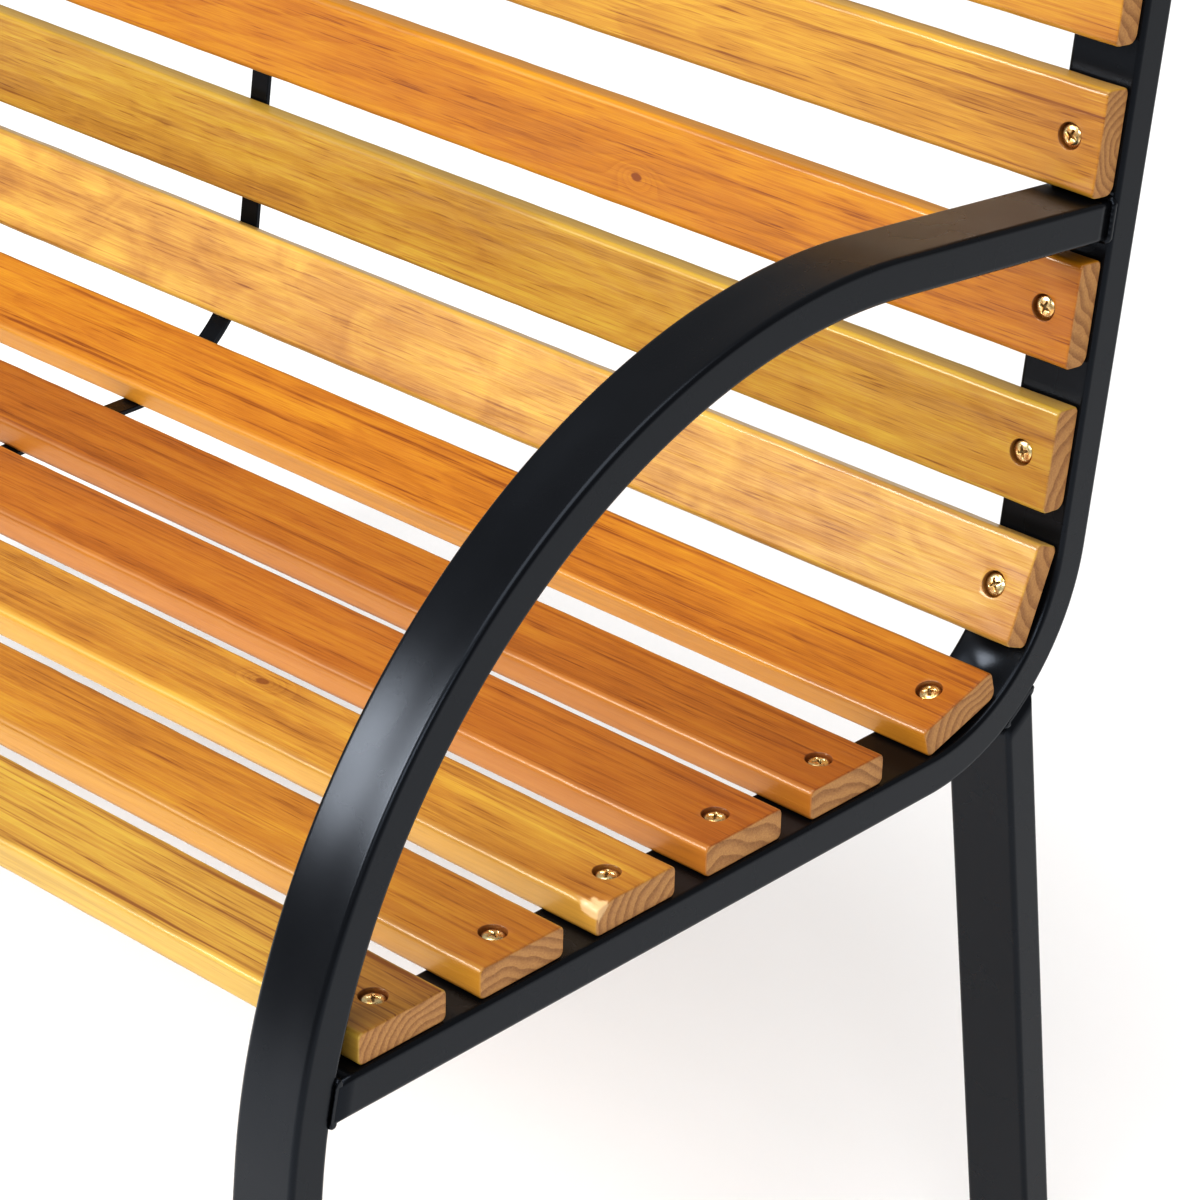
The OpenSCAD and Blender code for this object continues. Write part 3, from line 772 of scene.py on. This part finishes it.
def meet_circle(origin, direction, normal, out, centre, radius, far):
    """How far along direction each point of the outline meets a circle, at its near or far side."""
    q = origin + out[:, None] * normal - centre
    b, c = q @ direction, (q**2).sum(1) - radius**2
    root = np.sqrt(b * b - c)
    return -b + root if far else -b - root


def to_foot(top, normal, out):
    """How far down a leg each point of the outline reaches the leg's foot."""
    return (top[1] + out * normal[1] + SHIFT[1] - foot_t) / math.cos(leg_lean)


def tube(name, node, outline, rows, side, material, slot="powder_coat", middle=frame_x):
    """Skins side view rows into one closed tube at x = middle, mirrored where side is -1.
    Returns its points, row by row."""
    count, cols = rows.shape[:2]
    x = side * (middle + outline[:, 0])
    sideways = np.broadcast_to(x[None, :, None], (count, cols, 1))
    points = np.concatenate([sideways, rows + SHIFT], 2).reshape(-1, 3)
    faces = [grid_quads(count, cols).reshape(-1, 4)] + grid_ends(count, cols)
    piece = new_piece(name, points, faces, material, slot, flat=2)
    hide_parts(node)
    print_fit(name, points, node)
    return points.reshape(count, cols, 3)


# %% [markdown]
# ## The coat
#
# Powder coat is baked plastic: black, satin, with a faint orange peel and a
# little dust. It is one shader with a fine bump, a roughness that drifts, and
# low, slightly blue reflections.

# %% Black coats
DUST, COOL = paint(120, 118, 116), (0.76, 0.85, 1.0, 1.0)


def black_coat(name, tone, rough, peel):
    """Black plastic or paint: rough is its roughness, peel the height of its texture."""
    f = Finish(name)
    place = f.node("TexCoord", out=3)
    skin = f.noise(place, 620, 3, 0.55)
    drift = f.noise(place, 14, 4, 0.6)
    dust = f.between(f.noise(place, 1900, 2, 0.7), 0.70, 0.80)
    colour = f.mix(dust * 0.08, f.mix(drift, tone, times(tone, 1.5)), DUST)
    return f.set(Base_Color=colour, Roughness=drift * 0.14 + rough - 0.05 + dust * 0.2, IOR=1.3,
                 Specular_Tint=COOL, Normal=f.bumped(skin, peel))


coat = black_coat("satin_black_coat", (0.0020, 0.0022, 0.0028), 0.25, 0.015 * MM)
cap_plastic = black_coat("moulded_black_plastic", (0.012, 0.012, 0.012), 0.5, 0.05 * MM)

# %% Rows of the rails, the arms and the rear legs
DENT, HOLLOW = 2.6 * MM, 0.30 * MM  # depth of the dents, and of the arm's hollow
DENTS, DENT_AT = 5.2, 0.46  # how many, and where one of them lies on the bend
SEAT_ROWS, BEND_ROWS, BACK_ROWS = 42, 61, 36
ARM_ROWS, ARM_BEND_ROWS, LEG_ROWS = 18, 121, 36


def crown(a, half):
    """1 at the middle of a face and 0 from half outwards: the square of a cosine."""
    return np.cos(np.clip(a / half, -1, 1) * math.pi / 2) ** 2


def faded(u, steep):
    """0 at both ends of a bend, 1 where u is further than 1 / steep from them."""
    return smoothstep(u * steep) * smoothstep((1 - u) * steep)


def bend_dents(outline):
    """How deep the tight bend is dented, row by row: a few waves on the face under the boards."""
    a, out = outline[None, :, 0], outline[:, 1]
    u = np.linspace(0, 1, BEND_ROWS)[:, None]
    share = crown(a, rail_w / 2 - 4 * MM) * (out > 0.4 * tube_t)
    waves = 0.6 + 0.4 * np.cos(2 * math.pi * DENTS * (u - DENT_AT))
    waves = waves + 0.15 * np.sin(a / (7 * MM) + 9 * u)
    return DENT * share * waves * faded(u, 8)


def rail_rows(outline, depth, front, top, dents=0.0):
    """Rows of a bar that follows the seat, the bend and the back under the boards, from front to
    top."""
    out = outline[:, 1]
    seat_mid, back_mid = -depth / 2 * seat_up, bend_end - depth / 2 * back_front
    hollow = np.broadcast_to(out[None], (BEND_ROWS, len(out))) - dents
    # out points to the bend's centre here, so the radius shrinks as out grows
    bent = bend_rows(bend_c, bend_r + depth / 2, -math.pi / 2 - seat_slope, bend_sweep, -hollow,
                     BEND_ROWS)
    seat = straight_rows(seat_mid, seat_dir, seat_up, out, front, bend_start, SEAT_ROWS)
    upright = straight_rows(back_mid, back_dir, back_front, out, 0, top, BACK_ROWS)
    return np.concatenate([seat[:-1], bent, upright[1:]])


def arm_rows(outline):
    """Rows of the arm from the upright's face, over the big bend and down the front leg."""
    out = outline[:, 1]
    begin = -out * (arm_up @ back_front) / (arm_fore @ back_front)
    straight = straight_rows(arm_joint, arm_fore, arm_up, out, begin, arm_straight, ARM_ROWS)
    u = np.linspace(0, 1, ARM_BEND_ROWS)[:, None]
    share = crown(outline[None, :, 0], arm_w / 2 - 2 * MM) * (np.abs(out) > 0.4 * tube_t)
    bulge = HOLLOW * share * faded(u, 6)
    bent = bend_rows(arm_c, arm_bend_r, math.pi / 2 - arm_drop,
                     math.pi / 2 + arm_drop - leg_lean, out - bulge, ARM_BEND_ROWS)
    normal = heading(math.pi - leg_lean)
    leg = straight_rows(leg_top, leg_dir, normal, out, 0, to_foot(leg_top, normal, out), LEG_ROWS)
    return np.concatenate([straight[:-1], bent, leg[1:]])


def rear_leg_rows(outline):
    """Rows of the rear leg from the bend's underside to its foot."""
    out = outline[:, 1]
    normal = heading(leg_lean)
    begin = meet_circle(rear_top, rear_dir, normal, out, bend_c, bend_r + tube_t, far=True)
    return straight_rows(rear_top, rear_dir, normal, out, begin, to_foot(rear_top, normal, out),
                         LEG_ROWS)


# %% Make the end frames
rail_outline = tube_outline(rail_w, tube_t, tube_r)
arm_outline = tube_outline(arm_w, tube_t, tube_r)
rail_front = meet_circle(-tube_t / 2 * seat_up, seat_dir, seat_up, rail_outline[:, 1], arm_c,
                         arm_inner_r, far=False)
shapes = {
    "rail": ("seat_back_rail", rail_outline,
             rail_rows(rail_outline, tube_t, rail_front, upright_len, bend_dents(rail_outline))),
    "arm": ("arm_front_leg", arm_outline, arm_rows(arm_outline)),
    "rear_leg_tube": ("rear_leg", rail_outline, rear_leg_rows(rail_outline)),
}
# A seam is the first row of a tube, where it is welded to another one
seams = {}
for side, word in ((1, "right"), (-1, "left")):
    seams[word] = [tube(f"{name}_{word}", f"{node}_{word}", outline, rows, side, coat)[0]
                   for name, (node, outline, rows) in shapes.items()]

# %% [markdown]
# ## Weld beads
#
# Where a tube ends on another one, a bead of weld runs round it under the
# coat. It is a thin ring that follows the tube's end, and it swells and
# narrows a little with each drop of metal.

# %% Beads
BEAD_R, BEAD_STEP, BEAD_SIDES, DROP = 1.9 * MM, 0.6 * MM, 12, 3 * MM
GROUND = 0.05 * MM  # how far inside the tube's outer side a bead is ground


def bead(loop):
    """A rippled ring round a closed loop of points, with one drop of metal every DROP."""
    step = np.linalg.norm(np.roll(loop, -1, 0) - loop, axis=1)
    run = np.concatenate([[0], np.cumsum(step)])
    count = int(run[-1] / BEAD_STEP)
    at = np.linspace(0, run[-1], count, endpoint=False)
    closed = np.concatenate([loop, loop[:1]])
    path = np.stack([np.interp(at, run, closed[:, k]) for k in range(3)], 1)
    along = np.roll(path, -2, 0) - np.roll(path, 2, 0)
    along /= np.linalg.norm(along, axis=1)[:, None]
    outward = path - path.mean(0)
    outward -= (outward * along).sum(1)[:, None] * along
    outward /= np.linalg.norm(outward, axis=1)[:, None]
    third = np.cross(along, outward)
    drop = (at / DROP) % 1
    size = BEAD_R * (0.86 + 0.22 * np.sqrt(drop) * (1 - drop**6) + 0.06 * ripple(7, at * 4))
    phi = np.linspace(0, 2 * math.pi, BEAD_SIDES, endpoint=False)[None, :, None]
    ring = np.cos(phi) * outward[:, None] + np.sin(phi) * third[:, None]
    points = path[:, None] + size[:, None, None] * ring
    quads = grid_quads(count + 1, BEAD_SIDES) % (count * BEAD_SIDES)
    return points.reshape(-1, 3), quads.reshape(-1, 4)


def joined(parts):
    """Several closed shapes, as (points, faces), put together as one."""
    starts = np.cumsum([0] + [len(p) for p, _ in parts[:-1]])
    return np.concatenate([p for p, _ in parts]), [f + s for (_, f), s in zip(parts, starts)]


side_x = frame_x + rail_w / 2 - GROUND
for word, loops in seams.items():
    points, faces = joined([bead(loop) for loop in loops])
    points[:, 0] = np.clip(points[:, 0], -side_x, side_x)
    new_piece(f"weld_beads_{word}", points, faces, coat, "powder_coat")
    print(f"weld_beads_{word}", len(points), "points")

# %% [markdown]
# ## The strap behind the boards
#
# A flat bar follows the frames' side view at the middle of the bench and
# keeps the boards level with each other. It has the same rows as the rails,
# with a thinner outline and no dents.

# %% Strap
strap_outline = tube_outline(strap_w, strap_t, strap_edge_r, across=5, steps=3)
strap_top = back_4 + back_pitch + strap_over
strap_rows = rail_rows(strap_outline, strap_t, -strap_over, strap_top)
tube("strap", "centre_strap", strap_outline, strap_rows, 1, coat, "strap_coat", middle=0)

# %% [markdown]
# ## Screws
#
# Each board is held by a pan head screw with a cross recess, sunk in its
# counterbore. The head is a dome given by height over a round grid, with the
# recess taken away from the height; the shank below it turns into a thread at
# its end, where it stands out of the nut behind the tube.

# %% The recess
RECESS_D, RECESS_HALF, RECESS_REACH = 1.9 * MM, 0.78 * MM, 3.1 * MM


def recess(x, y):
    """Depth of the cross recess at a point of the head: two tapered slots, deepest at the
    middle, each with a soft edge."""
    def slot(u, v):
        half = RECESS_HALF - 0.10 * np.abs(u)
        inside = smoothstep((half - np.abs(v)) / (0.28 * MM) + 0.5)
        inside *= smoothstep((RECESS_REACH - np.abs(u)) / (0.5 * MM) + 0.5)
        return inside * (1 - 0.22 * np.abs(u) / RECESS_REACH)
    return RECESS_D * np.maximum(slot(x, y), slot(y, x))


# %% The profile of a screw
HEAD_H, RIM_H, SHANK_R = 3.6 * MM, 1.08 * MM, 3 * MM
THREAD_LEN, THREAD_ROWS, PITCH, THREAD_D = 9 * MM, 34, 1 * MM, 0.32 * MM
TURNS = 56  # points round a screw
DOME_ROWS = 22


def screw_profile(length):
    """Radius and height of a screw's rings, from the middle of the dome down to the tip, and how
    many the dome has. The dome's height is the square root of 1 - r to the power 2.8, with r its
    share of the head's radius. The head stands on height 0."""
    head_r = head_d / 2
    dome = np.concatenate([[0.02 * MM], np.linspace(0.25 * MM, head_r - TIP, DOME_ROWS),
                           head_r - TIP * np.array([0.6, 0.3, 0.1])])
    dome_z = RIM_H + (HEAD_H - RIM_H) * (1 - (dome / head_r) ** 2.8) ** 0.5
    rim, rim_z = np.full(3, head_r), np.array([RIM_H - 0.1 * MM, 0.5 * RIM_H, 0.15 * MM])
    shank = [head_r - 0.15 * MM, SHANK_R + 0.2 * MM, SHANK_R, SHANK_R]
    shank_z = [0, 0, 0.2 * MM, length - THREAD_LEN - 0.5 * MM]
    thread = np.linspace(length - THREAD_LEN, length - 0.8 * MM, THREAD_ROWS)
    radius = np.concatenate([dome, rim, shank, np.full(THREAD_ROWS, SHANK_R),
                             [SHANK_R - 0.9 * MM]])
    height = np.concatenate([dome_z, rim_z, -np.concatenate([shank_z, thread, [length]])])
    return radius, height, len(dome)


def screw(length, spin):
    """A screw from its profile, its thread a wave that winds down the shank, its recess turned by
    spin. Returns points, quads, end faces, and how deep each point is in the recess, 0 to 1."""
    radius, height, dome = screw_profile(length)
    rows = len(radius)
    phi = np.linspace(0, 2 * math.pi, TURNS, endpoint=False)
    cut = np.zeros(rows)
    cut[-THREAD_ROWS - 1:-1] = THREAD_D * smoothstep(np.arange(THREAD_ROWS) / 4)
    wave = np.abs(((height[:, None] / PITCH - phi / (2 * math.pi)) % 1) * 2 - 1)
    reach = radius[:, None] - cut[:, None] * wave
    x, y = reach * np.cos(phi), reach * np.sin(phi)
    sunk = recess(x * math.cos(spin) + y * math.sin(spin), y * math.cos(spin) - x * math.sin(spin))
    sunk[dome:] = 0
    points = np.stack([x, y, height[:, None] - sunk], -1).reshape(-1, 3)
    quads = grid_quads(rows, TURNS).reshape(-1, 4)
    return points, quads, grid_ends(rows, TURNS), sunk.ravel() / RECESS_D


# %% Screw finishes
def plated(name, pale, deep, rough):
    """Zinc plate: a tone that drifts from pale to deep, light scuffs, and painted shade that
    darkens a recess.
    """
    f = Finish(name)
    place = f.node("TexCoord", out=3)
    drift = f.between(f.noise(place, 260, 3, 0.6), 0.35, 0.68)
    scuff = f.noise(place, 2400, 2, 0.6)
    # Painted shade: deep in the recess the plate goes almost black, and it is rougher there.
    recess_shade = f.between(f.mark("recess"), 0.15, 0.7)
    colour = f.mix(recess_shade * 0.85, f.mix(drift, pale, deep), times(deep, 0.12))
    return f.set(Base_Color=colour, Metallic=1.0,
                 Roughness=scuff * 0.22 + rough - 0.11 + recess_shade * 0.2,
                 Normal=f.bumped(scuff, 0.006 * MM))


yellow_zinc = plated("yellow_zinc", paint(240, 222, 170), paint(214, 160, 96), 0.24)
bright_zinc = plated("bright_zinc", paint(205, 208, 212), paint(168, 172, 178), 0.32)
black_zinc = plated("black_zinc", paint(52, 52, 56), paint(30, 30, 34), 0.38)

# %% Set the screws
WASHER_T, NUT_H, THREAD_OVER = 1.6 * MM, 5 * MM, 1.5 * MM
rng = np.random.default_rng(12)
for side, word in ((1, "right"), (-1, "left")):
    parts, tips, sunks = [], [], []
    for key, (turn, at, _) in places.items():
        into_bend = bend_r - chord_d if key in ("seat_6", "back_1") else 0
        length = slat_t - sink_depth + into_bend + tube_t + WASHER_T + NUT_H + THREAD_OVER
        points, quads, ends, sunk = screw(length, rng.uniform(0, math.pi))
        y, z = heading(turn), heading(turn + math.pi / 2)
        placed = np.empty_like(points)
        placed[:, 0] = side * screw_x + points[:, 0]
        up = points[:, 2:] + slat_t - sink_depth
        placed[:, 1:] = at + SHIFT + points[:, 1:2] * y + up * z
        tips += [end + sum(len(p) for p, _ in parts) for end in ends]
        parts.append((placed, quads))
        sunks.append(sunk)
    points, faces = joined(parts)
    piece = new_piece(f"screws_{word}", points, faces + tips, yellow_zinc, "yellow_zinc",
                      flat=len(tips), recess=np.concatenate(sunks))
    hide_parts(f"slat_screws_{word}")
    print(piece.name, len(points), "points")

# %% Finishes on the solids that stay
kept = (("slat_washers", bright_zinc), ("slat_nuts", bright_zinc), ("strap_screws", black_zinc),
        ("front_foot", cap_plastic), ("rear_foot", cap_plastic), ("top_cap", cap_plastic))
for name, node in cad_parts.items():
    for start, finish in kept:
        if name.startswith(start):
            for slot in node.material_slots:
                slot.material = finish

# %% [markdown]
# ## Floor and light
#
# A plain pale floor, and soft lights as in a product studio: a key light high
# at the front left, a very big one overhead for the seat, and a wide strip at
# the front right for the board ends. A dim white room fills the shadows, and
# more contrast in the view keeps the steel deep beside the bright wood.

# %% Floor and room
FLOOR_HALF, ROOM_STRENGTH = 12.0, 0.40

floor_mesh = bpy.data.meshes.new("floor")
signs = ((-1, -1), (1, -1), (1, 1), (-1, 1))
floor_mesh.from_pydata([(FLOOR_HALF * x, FLOOR_HALF * y, 0) for x, y in signs], [], [(0, 1, 2, 3)])
floor = bpy.data.objects.new("floor", floor_mesh)
pale = Finish("pale_floor").set(Base_Color=paint(246, 246, 246), Roughness=0.8)
floor_mesh.materials.append(pale)
link(floor)
floor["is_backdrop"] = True

room = bpy.data.worlds.new("room")
room.use_nodes = True
background = room.node_tree.nodes["Background"]
background.inputs["Color"].default_value = (1, 1, 1, 1)
background.inputs["Strength"].default_value = ROOM_STRENGTH
bpy.context.scene.world = room


# %% Lights
def soft_light(name, at, aim, wide, tall, power, tone=(1, 1, 1)):
    """An area light at a point that faces another, `wide` by `tall` metres, power in watts."""
    light = bpy.data.lights.new(name, "AREA")
    light.shape, light.size, light.size_y = "RECTANGLE", wide, tall
    light.energy, light.color = power, tone
    lamp = bpy.data.objects.new(name, light)
    turned = (Vector(aim) - Vector(at)).to_track_quat("-Z", "Y").to_matrix().to_4x4()
    lamp.matrix_world = Matrix.Translation(at) @ turned
    link(lamp)


soft_light("key", (-1.25, -2.5, 2.2), (0.4, -0.1, 0.5), 1.1, 1.1, 102, (1, 0.99, 0.97))
soft_light("above", (0.6, -0.9, 5.0), (0.3, 0, 0.2), 4.0, 4.0, 200)
soft_light("strip", (2.0, -2.3, 2.3), (0.5, -0.2, 0.5), 2.4, 0.45, 38, (0.94, 0.97, 1))
view = bpy.context.scene.view_settings
view.view_transform, view.look = "Standard", "Medium High Contrast"

# %% Compare the boxes and finish
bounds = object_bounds()
plain = lambda box: [[float(c) for c in corner] for corner in box]
{"cad": plain(cad_bounds), "visual": plain(bounds)}
print("visual box", bounds)
